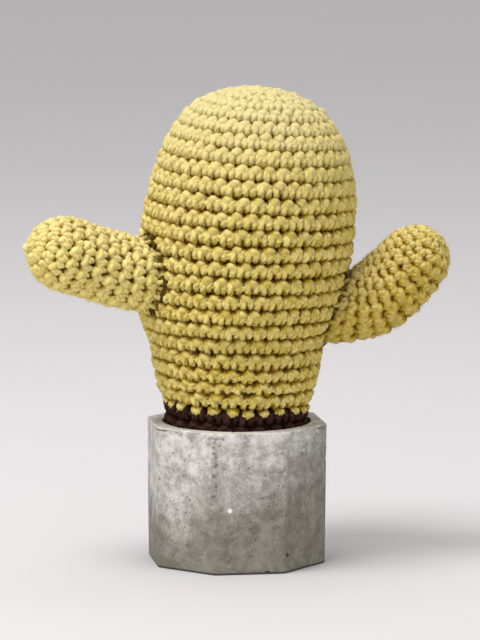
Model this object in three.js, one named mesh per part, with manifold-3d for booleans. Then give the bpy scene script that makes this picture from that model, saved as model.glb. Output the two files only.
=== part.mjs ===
// A cactus crocheted in thick yarn, with two sewn-on arms, standing in an octagonal concrete pot.
// Millimetres, +Z up. The origin is the centre of the pot's underside, and -Y is the front.
import * as THREE from 'three';
import { mergeVertices } from 'three/addons/utils/BufferGeometryUtils.js';
import Module from 'manifold-3d';

const wasm = await Module();
wasm.setup();

// Fits between pieces
const GAP = 0.3;                   // between two pieces that touch
const SEAM_GAP = 0.35;             // between an arm's sewn edge and the tops of the body's stitches

// Crocheted fabric
const ROUND_HEIGHT = 7.4;          // one round of single crochet
const FABRIC = 5.4;                // thickness over the stitches
const COLUMN_LEAN = 0.2;           // stitches that a column drifts sideways in one round
const LOOP_DEPTH = 1;              // of the top loops below the tops of the stitches
const HOLE_DEPTH = 3.2;            // of the holes that the hook went through
const SLOT_DEPTH = 1.5;            // of the gap between neighbouring stitches
const STITCH_TOP = 0.42;           // where a stitch stands highest, as a share of its round
const STITCH_SIDE = 0.45;          // and where the gap beside it is, as a share of its width
const LINING_SIDES = 20;           // sides of the plain inner faces of the body
const ARM_LINING_SIDES = 12;       // and of the arms
const LINING_ROUNDS = 2;           // rounds between two rings of an inner face

// Octagonal pot
const POT_CORNER_TOP = 43.3;       // radius to the corners at the rim
const POT_CORNER_FOOT = 42.8;      // and at the foot
const POT_HEIGHT = 66;
const POT_BEVEL = 0.8;             // worn edge of the rim and the foot
const POT_TURN = 31.6;             // degrees from the front to the corner on its right
const BORE_RADIUS_TOP = 34.5;
const BORE_RADIUS_FOOT = 33.9;
const BORE_FLOOR = 12;             // thickness of the pot's floor
const BORE_SIDES = 60;

// Body, from the crown down: height and radius of the outline over the stitches
const BODY_OUTLINE = [
  [222.3, 0], [220.8, 11.5], [217.2, 23], [209.6, 33.4], [195.5, 42.2], [177, 47.5], [155, 49.8],
  [132, 48.9], [116, 46], [102.5, 41], [88, 38.3], [72.8, 33.9],
];
const BODY_STITCHES = [6, 12, 18, 24, 30, 36, ...Array(13).fill(42), 36, 30, 30, 24, 24];
const BODY_LEAN = 8.8;             // how far the crown leans to the right
const LEAN_FROM = 100;             // height at which the lean starts
const LEAN_TO = 205;               // and ends
const ROUND_TILT = 0.042;          // slope of the rounds, down to the right

// Brown cup of soil: height and radius of its side, from the top down
const SOIL_SIDE = [[72.5, 33.6], [66, 33.6], [40, 33.5], [22, 33.3]];
const SOIL_CORNER = 9;             // radius between its side and its bottom
const SOIL_STITCHES = 24;
const SOIL_RELIEF_ROUNDS = 2;      // the rounds that can be seen
const SOIL_STEPS = 9;

// Arms: heading in degrees from the front, spine as distance from the body's axis and height,
// and outline as distance from the tip and radius
const ARM_STITCHES = [6, 12, ...Array(9).fill(15)];
const LEFT_ARM = {
  heading: -70,
  axisX: 4,
  spine: [[105.8, 154.1], [88.3, 147.8], [64.4, 139.9], [44.4, 135.2], [24, 130.5]],
  outline: [[0, 0], [1.3, 5.8], [5, 11.2], [11, 15.6], [19, 17.6], [32, 17.3], [48, 17.4], [84, 17.4]],
};
const RIGHT_ARM = {
  heading: 90,
  axisX: 2.7,
  spine: [[89.6, 155.8], [79.6, 141.8], [66.3, 127.6], [54.8, 121], [46, 118.4], [24, 115.6]],
  outline: [[0, 0], [1.3, 5.8], [5, 11], [11, 15.2], [18, 16.7], [34, 17.6], [48, 17], [60, 15.6], [88, 15.2]],
};

const SMALL = 0.05;                // step for slopes, in mm along the fabric and in radians round it

const MATERIALS = {
  greenYarn: new THREE.MeshStandardMaterial({ color: 0xb8a957, roughness: 0.95, metalness: 0 }),
  brownYarn: new THREE.MeshStandardMaterial({ color: 0x3a2b24, roughness: 0.95, metalness: 0 }),
  concrete: new THREE.MeshStandardMaterial({ color: 0x8f8c80, roughness: 0.9, metalness: 0 }),
  stuffing: new THREE.MeshStandardMaterial({ color: 0xf1efe9, roughness: 1, metalness: 0 }),
};

const TURN = 2 * Math.PI;

// One ring of points, from rising angles within a turn and a function of the angle
function ring(angles, place) {
  return { angles, points: angles.map(place) };
}

function pole(point) {
  return { angles: [0], points: [point] };
}

function evenAngles(count) {
  return Array.from({ length: count }, (_, i) => (TURN * i) / count);
}

// Angle of a ring's point, whose number may run past the ring's end or start
function angleAt(one, number) {
  const count = one.angles.length;
  return one.angles.at(number % count) + TURN * Math.floor(number / count);
}

// Triangles between two rings of any two counts, the second one further along the skin
function bridge(a, b, firstA, firstB, index) {
  const countA = a.points.length;
  const countB = b.points.length;
  const apart = (number) => Math.abs(angleAt(b, number) - angleAt(a, 0));
  let offset = 0;
  for (let j = -countB; j < countB; j += 1) {
    if (countB > 1 && apart(j) < apart(offset)) offset = j;
  }
  const vertexA = (i) => firstA + (i % countA);
  const vertexB = (j) => firstB + ((j + offset + countB) % countB);
  const stepsA = countA > 1 ? countA : 0;
  const stepsB = countB > 1 ? countB : 0;
  let i = 0;
  let j = 0;
  while (i < stepsA || j < stepsB) {
    const diagonalA = angleAt(a, i + 1) - angleAt(b, j + offset);
    const diagonalB = angleAt(b, j + offset + 1) - angleAt(a, i);
    if (j >= stepsB || (i < stepsA && diagonalA < diagonalB)) {
      index.push(vertexA(i), vertexB(j), vertexA(i + 1));
      i += 1;
    } else {
      index.push(vertexA(i), vertexB(j), vertexB(j + 1));
      j += 1;
    }
  }
}

// Closed skin through a list of rings that starts and ends with a pole
function skin(rings) {
  const positions = [];
  const index = [];
  const firsts = rings.map((one) => {
    const first = positions.length / 3;
    for (const point of one.points) positions.push(point.x, point.y, point.z);
    return first;
  });
  for (let k = 1; k < rings.length; k += 1) {
    bridge(rings[k - 1], rings[k], firsts[k - 1], firsts[k], index);
  }
  const geometry = new THREE.BufferGeometry();
  geometry.setAttribute('position', new THREE.Float32BufferAttribute(positions, 3));
  geometry.setIndex(index);
  return geometry;
}

// A surface is a function of the distance along the fabric and the angle round it.
// This sinks a point of it below the surface, along its normal.
function sunk(surface, along, angle, depth) {
  const s = Math.max(along, SMALL);
  const alongStep = surface(s + SMALL, angle).sub(surface(s - SMALL, angle));
  const roundStep = surface(s, angle + SMALL).sub(surface(s, angle - SMALL));
  const normal = alongStep.cross(roundStep).normalize();
  return surface(along, angle).addScaledVector(normal, -depth);
}

// Wave that is 1 at every whole number and 0 at a share of the way to the next one
function wave(value, low) {
  const share = value - Math.floor(value);
  const phase = share < low ? share / low : 1 + (share - low) / (1 - low);
  return (1 + Math.cos(Math.PI * phase)) / 2;
}

// Depth of the fabric's face in a stitch: row counts rounds, column counts stitches
function stitchDepth(row, column) {
  const atEdge = wave(row, STITCH_TOP);
  const atCentre = wave(column, STITCH_SIDE);
  const edge = LOOP_DEPTH + (HOLE_DEPTH - LOOP_DEPTH) * atCentre;
  const middle = SLOT_DEPTH * (1 - atCentre);
  return atEdge * edge + (1 - atEdge) * middle;
}

// A ring of stitches: one point at each stitch's centre and one in the gap beside it
function stitchRing(surface, count, row) {
  const angles = [];
  for (let column = 0; column < count; column += 1) {
    for (const part of [0, STITCH_SIDE]) angles.push((TURN * (column + part - COLUMN_LEAN * row)) / count);
  }
  return ring(angles, (angle) => {
    const column = (angle * count) / TURN + COLUMN_LEAN * row;
    return sunk(surface, row * ROUND_HEIGHT, angle, stitchDepth(row, column));
  });
}

// Rings over a crocheted face: one at the upper edge of each round and one over its stitches
function stitchRings(surface, stitches) {
  return stitches.flatMap((count, k) => [k, k + STITCH_TOP].map((row) => stitchRing(surface, count, row)));
}

// Rings of a plain face at one depth below the surface
function plainRings(surface, distances, depth, sides) {
  return distances.map((along) => ring(evenAngles(sides), (angle) => sunk(surface, along, angle, depth)));
}

function steps(from, to, count) {
  return Array.from({ length: count + 1 }, (_, i) => from + ((to - from) * i) / count);
}

// Distances of a shell's inner rings, from near its closed end to its open one
function liningSteps(rounds) {
  const last = rounds * ROUND_HEIGHT;
  return steps(ROUND_HEIGHT, last, Math.round((rounds - 1) / LINING_ROUNDS));
}

// Crocheted shell, closed at its start and open at the far end of its last round
function crochetShell(surface, stitches, sides) {
  const rounds = stitches.length;
  return skin([
    pole(sunk(surface, 0, 0, LOOP_DEPTH)),
    ...stitchRings(surface, stitches).slice(1),
    stitchRing(surface, stitches[rounds - 1], rounds),
    ...plainRings(surface, liningSteps(rounds).reverse(), FABRIC, sides),
    pole(sunk(surface, 0, 0, FABRIC)),
  ]);
}

// Filling of a shell, up to the far end of its last round
function fillingRings(surface, rounds, sides) {
  const depth = FABRIC + GAP;
  return [pole(sunk(surface, 0, 0, depth)), ...plainRings(surface, liningSteps(rounds), depth, sides)];
}

// Height and radius of an outline at a distance along it
function outlineCurve(points) {
  const curve = new THREE.SplineCurve(points.map(([x, y]) => new THREE.Vector2(x, y)));
  curve.arcLengthDivisions = 800;
  const length = curve.getLength();
  return { length, at: (along) => curve.getPointAt(THREE.MathUtils.clamp(along / length, 0, 1)) };
}

// The body is a leaning outline turned round its axis
const bodyCurve = outlineCurve(BODY_OUTLINE);
const bodyLength = BODY_STITCHES.length * ROUND_HEIGHT;
const bodyScale = bodyCurve.length / bodyLength;

function bodySurface(along, angle) {
  const { x: height, y: radius } = bodyCurve.at(along * bodyScale);
  const lean = THREE.MathUtils.smoothstep(height, LEAN_FROM, LEAN_TO);
  return new THREE.Vector3(
    BODY_LEAN * lean + radius * Math.sin(angle),
    -radius * Math.cos(angle),
    height - ROUND_TILT * lean * radius * Math.sin(angle),
  );
}

// An arm is an outline turned round a spine that bends in an upright plane
function armSurface(arm) {
  const heading = THREE.MathUtils.degToRad(arm.heading);
  const outward = new THREE.Vector3(Math.sin(heading), -Math.cos(heading), 0);
  const points = arm.spine.map(([reach, height]) => {
    return new THREE.Vector3(arm.axisX, 0, height).addScaledVector(outward, reach);
  });
  const spine = new THREE.CatmullRomCurve3(points, false, 'centripetal');
  const spineLength = spine.getLength();
  const side = new THREE.Vector3(0, 0, 1).cross(outward);
  const outline = outlineCurve(arm.outline);
  return (along, angle) => {
    const { x: distance, y: radius } = outline.at(along);
    const share = Math.min(distance / spineLength, 1);
    const tangent = spine.getTangentAt(share);
    const up = new THREE.Vector3().crossVectors(tangent, side);
    const across = new THREE.Vector3().crossVectors(up, tangent);
    return spine.getPointAt(share)
      .addScaledVector(up, radius * Math.cos(angle))
      .addScaledVector(across, radius * Math.sin(angle));
  };
}

function toSolid(geometry) {
  const merged = mergeVertices(geometry, 1e-4);
  const mesh = new wasm.Mesh({
    numProp: 3,
    vertProperties: new Float32Array(merged.attributes.position.array),
    triVerts: new Uint32Array(merged.index.array),
  });
  return new wasm.Manifold(mesh);
}

function toGeometry(solid) {
  const mesh = solid.getMesh();
  const geometry = new THREE.BufferGeometry();
  geometry.setAttribute('position', new THREE.Float32BufferAttribute(mesh.vertProperties, 3));
  geometry.setIndex(Array.from(mesh.triVerts));
  return geometry;
}

// Closed turned shape from pairs of radius and height, going up
function turned(profile, sides) {
  const points = profile.map(([radius, height]) => new THREE.Vector2(radius, height));
  const geometry = new THREE.LatheGeometry(points, sides).rotateX(Math.PI / 2);
  geometry.deleteAttribute('normal');
  geometry.deleteAttribute('uv');
  return toSolid(geometry);
}

function pot() {
  const outside = turned([
    [0, 0],
    [POT_CORNER_FOOT - POT_BEVEL, 0],
    [POT_CORNER_FOOT, POT_BEVEL],
    [POT_CORNER_TOP, POT_HEIGHT - POT_BEVEL],
    [POT_CORNER_TOP - POT_BEVEL, POT_HEIGHT],
    [0, POT_HEIGHT],
  ], 8);
  const above = POT_HEIGHT + 5;
  const bore = turned([
    [0, BORE_FLOOR],
    [BORE_RADIUS_FOOT, BORE_FLOOR],
    [BORE_RADIUS_TOP, POT_HEIGHT - POT_BEVEL],
    [BORE_RADIUS_TOP + POT_BEVEL / 2, POT_HEIGHT],
    [BORE_RADIUS_TOP + POT_BEVEL / 2, above],
    [0, above],
  ], BORE_SIDES);
  return toGeometry(outside.subtract(bore));
}

// The cup's side and bottom as one surface: down the side, round the corner and in to the centre
const soilFloor = BORE_FLOOR + GAP;
const soilCorner = SOIL_SIDE[SOIL_SIDE.length - 1][1] - SOIL_CORNER;
const soilCurve = outlineCurve([
  ...SOIL_SIDE,
  [soilFloor + SOIL_CORNER * (1 - Math.SQRT1_2), soilCorner + SOIL_CORNER * Math.SQRT1_2],
  [soilFloor, soilCorner],
  [soilFloor, soilCorner * 0.9],
]);

function soilSurface(along, angle) {
  const { x: height, y: radius } = soilCurve.at(along);
  return new THREE.Vector3(radius * Math.sin(angle), -radius * Math.cos(angle), height);
}

function soilCup() {
  const distances = steps(0, soilCurve.length, SOIL_STEPS);
  const relief = SOIL_RELIEF_ROUNDS * ROUND_HEIGHT;
  return skin([
    pole(new THREE.Vector3(0, 0, soilFloor + FABRIC)),
    ...plainRings(soilSurface, distances.toReversed(), FABRIC, LINING_SIDES),
    ...stitchRings(soilSurface, Array(SOIL_RELIEF_ROUNDS).fill(SOIL_STITCHES)),
    ...plainRings(soilSurface, distances.filter((along) => along > relief), SLOT_DEPTH / 2, LINING_SIDES),
    pole(new THREE.Vector3(0, 0, soilFloor)),
  ]);
}

// One mass of filling in the body and in the cup below it
function bodyStuffing() {
  const depth = FABRIC + GAP;
  return skin([
    ...fillingRings(bodySurface, BODY_STITCHES.length, LINING_SIDES),
    ...plainRings(soilSurface, steps(0, soilCurve.length, SOIL_STEPS), depth, LINING_SIDES),
    pole(new THREE.Vector3(0, 0, soilFloor + depth)),
  ]);
}

function armStuffing(surface) {
  const rounds = ARM_STITCHES.length;
  const ends = [0, Math.PI].map((angle) => surface(rounds * ROUND_HEIGHT, angle));
  return skin([
    ...fillingRings(surface, rounds, ARM_LINING_SIDES),
    pole(ends[0].add(ends[1]).multiplyScalar(0.5)),
  ]);
}

// The space that the body takes up over its stitches, which the arms are cut to
function bodyEnvelope() {
  const rounds = BODY_STITCHES.length;
  const distances = steps(ROUND_HEIGHT / 2, bodyLength, 2 * rounds - 1);
  return skin([
    pole(sunk(bodySurface, 0, 0, -SEAM_GAP)),
    ...plainRings(bodySurface, distances, -SEAM_GAP, 3 * LINING_SIDES),
    pole(new THREE.Vector3(0, 0, BODY_OUTLINE.at(-1)[0])),
  ]);
}

const cactus = new THREE.Group();

function add(name, geometry, material) {
  const mesh = new THREE.Mesh(geometry, material);
  mesh.name = name;
  cactus.add(mesh);
  return mesh;
}

add('pot', pot(), MATERIALS.concrete).rotation.z = THREE.MathUtils.degToRad(POT_TURN);
add('soil_crochet', soilCup(), MATERIALS.brownYarn);
add('body_crochet', crochetShell(bodySurface, BODY_STITCHES, LINING_SIDES), MATERIALS.greenYarn);
add('body_stuffing', bodyStuffing(), MATERIALS.stuffing);

const envelope = toSolid(bodyEnvelope());
for (const [side, arm] of [['left', LEFT_ARM], ['right', RIGHT_ARM]]) {
  const surface = armSurface(arm);
  const shell = toSolid(crochetShell(surface, ARM_STITCHES, ARM_LINING_SIDES)).subtract(envelope);
  const filling = toSolid(armStuffing(surface)).subtract(envelope);
  add(`arm_${side}_crochet`, toGeometry(shell), MATERIALS.greenYarn);
  add(`arm_${side}_stuffing`, toGeometry(filling), MATERIALS.stuffing);
}

export default cactus;
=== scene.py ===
"""Looks of a cactus crocheted in thick yarn that stands in an octagonal concrete pot.

The yarn is modelled as yarn: each stitch has its two legs, its front loop and its back loop, laid
in rounds from the closed tip of each piece. Lengths are in metres, -Y is the front and +Z is up.
"""
import math

import bpy
import numpy as np
from mathutils import Matrix, Vector


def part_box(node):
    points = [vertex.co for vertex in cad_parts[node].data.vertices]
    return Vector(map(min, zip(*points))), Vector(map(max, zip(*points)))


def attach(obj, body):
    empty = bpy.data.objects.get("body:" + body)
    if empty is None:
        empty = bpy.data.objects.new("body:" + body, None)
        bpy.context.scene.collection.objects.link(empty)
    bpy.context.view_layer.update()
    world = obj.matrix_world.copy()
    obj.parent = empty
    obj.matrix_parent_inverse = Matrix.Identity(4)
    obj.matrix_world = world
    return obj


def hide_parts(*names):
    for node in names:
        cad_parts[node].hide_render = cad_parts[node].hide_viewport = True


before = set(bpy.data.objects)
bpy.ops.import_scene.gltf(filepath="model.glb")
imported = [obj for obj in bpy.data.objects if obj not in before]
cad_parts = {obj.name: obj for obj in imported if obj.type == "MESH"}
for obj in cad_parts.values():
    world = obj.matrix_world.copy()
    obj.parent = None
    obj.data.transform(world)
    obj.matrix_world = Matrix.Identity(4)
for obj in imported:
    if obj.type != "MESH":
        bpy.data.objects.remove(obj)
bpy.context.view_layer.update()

bl_info = {
    "name": "Crocheted Cactus",
    "version": (1, 0, 0),
    "blender": (4, 5, 0),
    "location": "3D View > Sidebar > Cactus",
    "description": "Crochets a stuffed cactus stitch by stitch and casts its concrete pot",
    "category": "Add Mesh",
}

MM = 0.001
TURN = 2 * math.pi

# Fabric
FABRIC = 5.4 * MM             # thickness over the stitches
BACKING = 3.3 * MM            # depth of the inner loops, which close the fabric behind the stitches
BACKING_STEP = 1.9 * MM       # between the rings of their shell
BACKING_START = 2 * MM        # place of the second ring, and
BACKING_SPARE = MM            # least room before the last one
BACKING_FEW = 6               # their inside has one ring for so many outside
PIT = 2.4 * MM                # how much deeper they lie in the hole between two stitches
PIT_RADIUS = 1.5 * MM
TIP_START = 0.4 * MM          # distance of a shell's first ring from the fabric's closed tip
MIDDLE = 0.5 * MM             # radius of the last ring before a closed middle
COLUMN_LEAN = 0.34            # stitches that a column of the body drifts sideways in one round
ARM_LEAN = 0.45               # the same for the arms
FLAT_STEP = 0.05 * MM         # step along the fabric for slopes
ROUND_STEP = 0.001            # and round it, in radians
CELL_STEP = 0.05              # and within a stitch, as a share of it
WAVES = [(0.3, 1.37, 0), (0.2, 3.71, 1), (0.16, 7.3, 2)]    # in a round: height in millimetres, rate, start
TIP_EDGE = 0.1                # least distance of a round's edge from the tip, as a share of a round
SWAY = 0.07                   # how far a column sways, as a share of a stitch
SWAY_RATES = (4.3, 2.1)       # its rate round the fabric, and down a stitch

# Body, from the crown down: height and radius over the stitches, in millimetres
BODY_OUTLINE = [
    (222.3, 0), (220.8, 11.5), (217.2, 23), (209.6, 33.4), (195.5, 42.2), (177, 47.5), (155, 49.8),
    (132, 48.9), (116, 46), (102.5, 41), (88, 38.3), (72.8, 33.9),
]
BODY_STITCHES = [6, 12, 18, 24, 30, 36] + [42] * 13 + [36, 30, 30, 24, 24]
BODY_PARTS = [                # with their first round and the one after their last
    ("crown", 0, 10), ("middle", 10, 17), ("base", 17, len(BODY_STITCHES)),
]
BODY_ROUND = 7.5 * MM
BODY_SIDES = 168              # vertices round its inner loops
BODY_SEED = 11
BASE_PULL = 3.2 * MM          # how far the brown yarn has pulled the lowest rounds up
BASE_PULL_LEVELS = (20.3, 24)  # rounds over which this comes on
CROWN_PLUMP = (0.28, 14)      # extra thickness of the yarn at the crown, and the rounds until it is gone
CROWN_FLAT = (0.35, 12)       # relief that the crown lacks, and the rounds until it is whole
CROWN_OPEN = (0.22, 11)       # how open the crown is between stitches, which sets its painted shade, and the rounds for each 1 more
WIDEST_OPEN = 1.3             # where that stops
BASE_OPEN = (0.3, 20)         # how much further it goes at the base, below this round
BODY_LEAN = 8.8 * MM          # how far the crown leans to the right
LEAN_FROM = 100 * MM          # height at which it starts to lean
LEAN_TO = 205 * MM            # and at which it leans in full
ROUND_TILT = 0.042            # slope of the rounds, down to the right

# Brown cup: height and radius of its side below the body, in millimetres
SOIL_SIDE = [(66, 33.6), (40, 33.5), (22, 33.3)]
SOIL_STITCHES = [24] * 3      # the rounds that are worked out stitch by stitch
SOIL_SIDES = 96               # vertices round the cup
SOIL_SEED = 23
SOIL_CORNER = 9 * MM          # radius between its side and its bottom
CUP_WORKED = 52 * MM          # height above which the cup is only the back of those rounds
CUP_BEHIND = BACKING - 0.4 * MM       # how far it lies inside the side there
CUP_INSET = 0.8 * MM                  # and further down
CUP_BEND = 24 * MM            # height at which its side ends
CUP_BOTTOM = FABRIC - 0.9 * MM        # thickness of its bottom
CUP_WALL = FABRIC - 0.2 * MM          # how far its inside lies inside the side
CUP_RIPPLE = 0.25 * MM        # height of its plain stitches
CUP_PLAIN = 20 * MM           # radius of the middle of its bottom, which is left plain
CUP_RAISED = 20 * MM          # height below which its inside is raised by the bottom's thickness

# Arms: seed of their random draws, heading in degrees from the front, rounds, whether a knot sits on
# the tip, how open the fabric is, which sets the strength of its painted shade, painted light that
# makes the whole arm's yarn paler, which is painted shade where it is below 0, the body's axis across
# at the arm's height, spine as distance from that axis and height, and outline as distance from the
# tip and radius, in millimetres
ARM_STITCHES = [6, 12, 15]    # the last one goes on to the seam
ARM_RELIEF = 0.42             # how far the arms' stitches stand out, against the body's
ARM_SNUG = (0.85, 1.3)        # least and most thickness of their yarn, inside and outside of the bend
ARM_TOP_LIGHT = 0.45             # how much painted top light the arms take, against the body
ARM_PINCH = 1.0 * MM          # how far the sewing yarn pulls in the edge of an arm
PINCH_REACH = 6 * MM          # length of the arm that this narrows
SEAM_SINK = 0.3 * MM          # how far the edge sinks into the body
SEAM_SEARCH = (20 * MM, 2 * MM, 0.25 * MM)    # where the search for it starts, ends short and steps
SEAM_PLACES = 72              # places round an arm at which it is found
SEAM_REACH = 1.75 * MM        # how far the shade at the seam reaches
SEAM_SHADE = 1.15             # its strength, where 1 is full
SEAM_DARK = (0.14, 0.26)      # share of shade over which yarn goes fully dark
ARM_SIDES = 60                # vertices round their inner loops
LEFT_ARM = {
    "seed": 31,
    "heading": -70,
    "rounds": 11,
    "knot": True,
    "open": 0.75,
    "tone": 3.0,
    "axis": 4,
    "spine": [(105.8, 154.1), (88.3, 147.8), (64.4, 139.9), (44.4, 135.2), (24, 130.5)],
    "outline": [(0, 0), (1.3, 6), (5, 11.6), (11, 16.1), (19, 18.1), (32, 17.8), (48, 17.9), (84, 17.9)],
}
RIGHT_ARM = {
    "seed": 47,
    "heading": 90,
    "rounds": 13,
    "knot": False,
    "open": 1.45,
    "tone": -3.0,
    "axis": 2.7,
    "spine": [(89.6, 155.8), (79.6, 141.8), (66.3, 127.6), (54.8, 121), (46, 118.4), (24, 115.6)],
    "outline": [
        (0, 0), (1.3, 6), (5, 11.4), (11, 15.6), (18, 17.1), (34, 18), (48, 17.4), (60, 16), (80, 15.7),
    ],
}
ARMS = {"left": LEFT_ARM, "right": RIGHT_ARM}

# Paths of the yarn in one stitch, from the hole that it comes out of: share of a stitch across, share
# of a round down, and height over the fabric's face in millimetres. Each path starts with its
# thickness, as a share of the yarn's.
STITCH = {
    "legs": [
        (1.10, [
            (-0.02, 0.13, -4.4), (-0.08, 0.23, -2.6), (-0.13, 0.36, -1.65), (-0.13, 0.50, -1.5),
            (-0.10, 0.63, -1.8), (-0.06, 0.75, -2.7), (-0.03, 0.82, -4.4),
        ]),
        (1.17, [
            (0.09, 0.15, -4.5), (0.20, 0.24, -2.7), (0.31, 0.36, -1.7), (0.38, 0.50, -1.45),
            (0.43, 0.64, -1.6), (0.47, 0.76, -2.5), (0.49, 0.82, -4.2),
        ]),
    ],
    "loop": (1.38, [
        (0.27, 0.10, -4.9), (0.33, 0.12, -2.9), (0.41, 0.14, -1.75), (0.50, 0.15, -1.4),
        (0.59, 0.15, -1.75), (0.67, 0.15, -2.9), (0.73, 0.14, -4.9),
    ]),
    "back": (1.2, [
        (-0.52, 0.42, -3.0), (-0.26, 0.46, -2.7), (0.00, 0.47, -2.6), (0.26, 0.44, -2.7), (0.52, 0.40, -3.0),
    ]),
}
MEAN_LIFT = -2.6              # height that all paths draw near to where the fabric is flatter
WHIP_STITCH = [
    (-0.25, -0.70, -4.2), (-0.18, -0.50, -1.9), (-0.06, -0.24, -0.9), (0.08, -0.02, 0.0),
    (0.18, 0.16, 0.2), (0.26, 0.34, -0.6), (0.30, 0.50, -2.4),
]
TIP_KNOT = [                  # over the tip of the left arm
    (2.0, 0.35, -4.0), (2.2, 0.39, -1.5), (2.65, 0.45, -0.2), (3.1, 0.47, 0.3), (3.5, 0.45, -0.3),
    (3.9, 0.39, -1.5), (4.1, 0.35, -4.0),
]

# Yarn
YARN_SAMPLES = 8              # rings of vertices along the yarn of one path
YARN_SIDES = 10               # vertices round it
BACK_SAMPLES = 6              # the same for the loops at the back
BACK_SIDES = 6
PLIES = 3
PLY_RELIEF = 0.09             # how far the plies stand out, as a share of the yarn's radius
PLY_PITCH = 9 * MM            # length of one turn of the plies
YARN_END = 0.86               # thickness at the ends of a path, as a share
YARN_BELLY = 0.2              # how much more it has in the middle
PATH_SPREAD = (0.04, 0.03, 0.2)       # chance shift of a path, in the units of its points
POINT_SPREAD = (0.02, 0.018, 0.14)    # and of each of its points
PLUMP_SPREAD = 0.06           # and of its thickness
YARN_TRAVEL = 40 * MM         # length of yarn within which each path starts its fibres
SEWING_YARN = 0.8             # thickness of the whip stitches, as a share
SEWING_LOOSE = 1.6            # how much less even they are than stitches
SEWING_LIT = 0.9              # share of the seam's shade that they escape

# Painted shade between the stitches, in shares of a stitch across and of a round down
HOLE_ACROSS = 0.24            # reach of the painted shadow round a hole
HOLE_DOWN = 0.17
GROOVE = 0.135                # half width of the groove between two rounds
GROOVE_BREAK = 0.22           # half of how much weaker it is between two holes
SCALLOP = 0.105               # half of how far it swings up there
CREASE = 0.11                 # half width of the crease that runs up from a hole
CREASE_LEAN = 0.62            # how far it leans over in one round
CREASE_FADE = (-0.55, -0.3)   # where it fades in, as a place above the hole
DEPTH_SHADE = 0.75            # how far painted shade darkens yarn with its depth
LINE_SHADE = 0.85             # and in grooves and creases
SHADE_DEPTHS = (1.1, 2.8)     # depths over which it does, in millimetres
SHADOW_DEPTHS = (1.9, 3.5)    # and over which it takes the painted shadow of a hole
HOLE_DEPTH = (0.9, 0.8)       # how much deeper a hole counts, in closed fabric and more in open fabric
CREASE_DEPTH = 0.6            # and a crease in open fabric
SEAM_SHADOW = 2               # painted shadow in the seam of an arm, where 1 is that of a hole

# Loose fibres
FIBRE = 0.16 * MM             # thickness at the foot
FIBRE_LOW = -1.6              # lowest yarn that they stand on, in millimetres over the face
FIBRE_ROOT = 0.2 * MM         # how deep in the yarn they start
FIBRE_LEAN = 0.55             # chance lean away from straight out
FIBRE_SPIN = 0.8              # chance turn of their three sides
FIBRE_SHAPE = 4.0             # shape and scale of the gamma draw of their length
FIBRE_SCALE = 0.26 * MM
FIBRE_LEAST = 0.3 * MM        # added to it
FIBRE_TINT = 2                # how much paler they are than their yarn

# Fibrefill
FILL_GAP = 1.6 * MM           # between the fabric's inside and the filling
FILL_STEP = 2.6 * MM          # between its rings
FILL_LUMP = 2 * MM            # height of its lumps
FILL_SMOOTHING = 3            # how often they are smoothed, round each ring
FILL_START = 3 * MM           # place of its second ring
FILL_BODY_SIDES = 72          # vertices round a ring
FILL_ARM_SIDES = 40
FILL_SPARE = 4 * MM           # between the end of the cup's side and the filling's lowest full ring
FILL_TAPER = 0.75             # width of its bottom against that ring
FILL_SEED = 5

# Pot
POT_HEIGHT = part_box("pot")[1].z
POT_CORNERS = 8
POT_TURN = math.radians(31.6)         # from the front to the corner on its right
POT_CORNER_TOP = 43.3 * MM    # radius of its corners at the rim
POT_CORNER_FOOT = 42.8 * MM
BORE_TOP = 34.5 * MM          # radius of the bore at the rim
BORE_FOOT = 33.9 * MM         # and as it would be at the foot
BORE_FLOOR = 12 * MM
POT_SIDES = 360               # vertices round the pot
POT_SHARPNESS = 110           # of its corners, where a higher number is sharper
POT_BEVEL = 0.8 * MM          # rounding of its rim and foot
FOOT_RINGS = np.linspace(40, 1.2, 7) * MM     # how far the rings of its underside are set in
FLOOR_RINGS = np.linspace(3, 33.5, 8) * MM    # and those of the bore's floor
BORE_LIP = 0.4 * MM           # how far the rim's rounding overhangs the bore
POT_SEED = 71
POT_WANDER = (60, 90, 140, 210, 320, 480)     # rates of the waves in its cast faces
WANDER_SINK = 0.6             # how far below the true face they lie, as a share of their height
BUG_RADII = (0.7, 1.5)        # of its bug holes, in millimetres
BUG_DEPTHS = (0.25, 0.6)      # as a share of the radius

BLOOM_AND_LIGHT_SLOPE = 0.37            # rise of the lower edge of the pale bloom, from left to right; the bloom is partly the concrete's own and partly painted light from the upper left
SOOT = (0.06, 0.052, 0.04, 1)
LIME = (0.88, 0.87, 0.83, 1)
DAMP = (0.16, 0.15, 0.11, 1)
MARKS = [                     # on the front: across, height, half width, half height, share, tone
    (-2.9, 30.2, 1.1, 1.1, 1.0, LIME), (31.0, 56.0, 0.7, 0.7, 0.4, LIME),
    (23.4, 8.6, 0.8, 0.9, 1.0, SOOT), (14.6, 1.1, 1.5, 0.7, 1.0, SOOT), (-9.6, 63.9, 3.4, 0.8, 0.4, SOOT),
    (-34.5, 64.9, 3.6, 0.5, 0.75, SOOT), (38.6, 64.6, 2.2, 0.5, 0.6, SOOT),
    (-33.0, 2.0, 7.5, 3.6, 0.75, DAMP), (-10.0, 50.0, 1.6, 14.0, 0.2, SOOT),
    # a ragged trail that runs down from the rim
    *((-9.9 + 0.7 * math.sin(5 * place), 62 - 2.4 * place + math.sin(3 * place), 0.9, 0.6, 0.5, SOOT)
      for place in range(12)),
]

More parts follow.
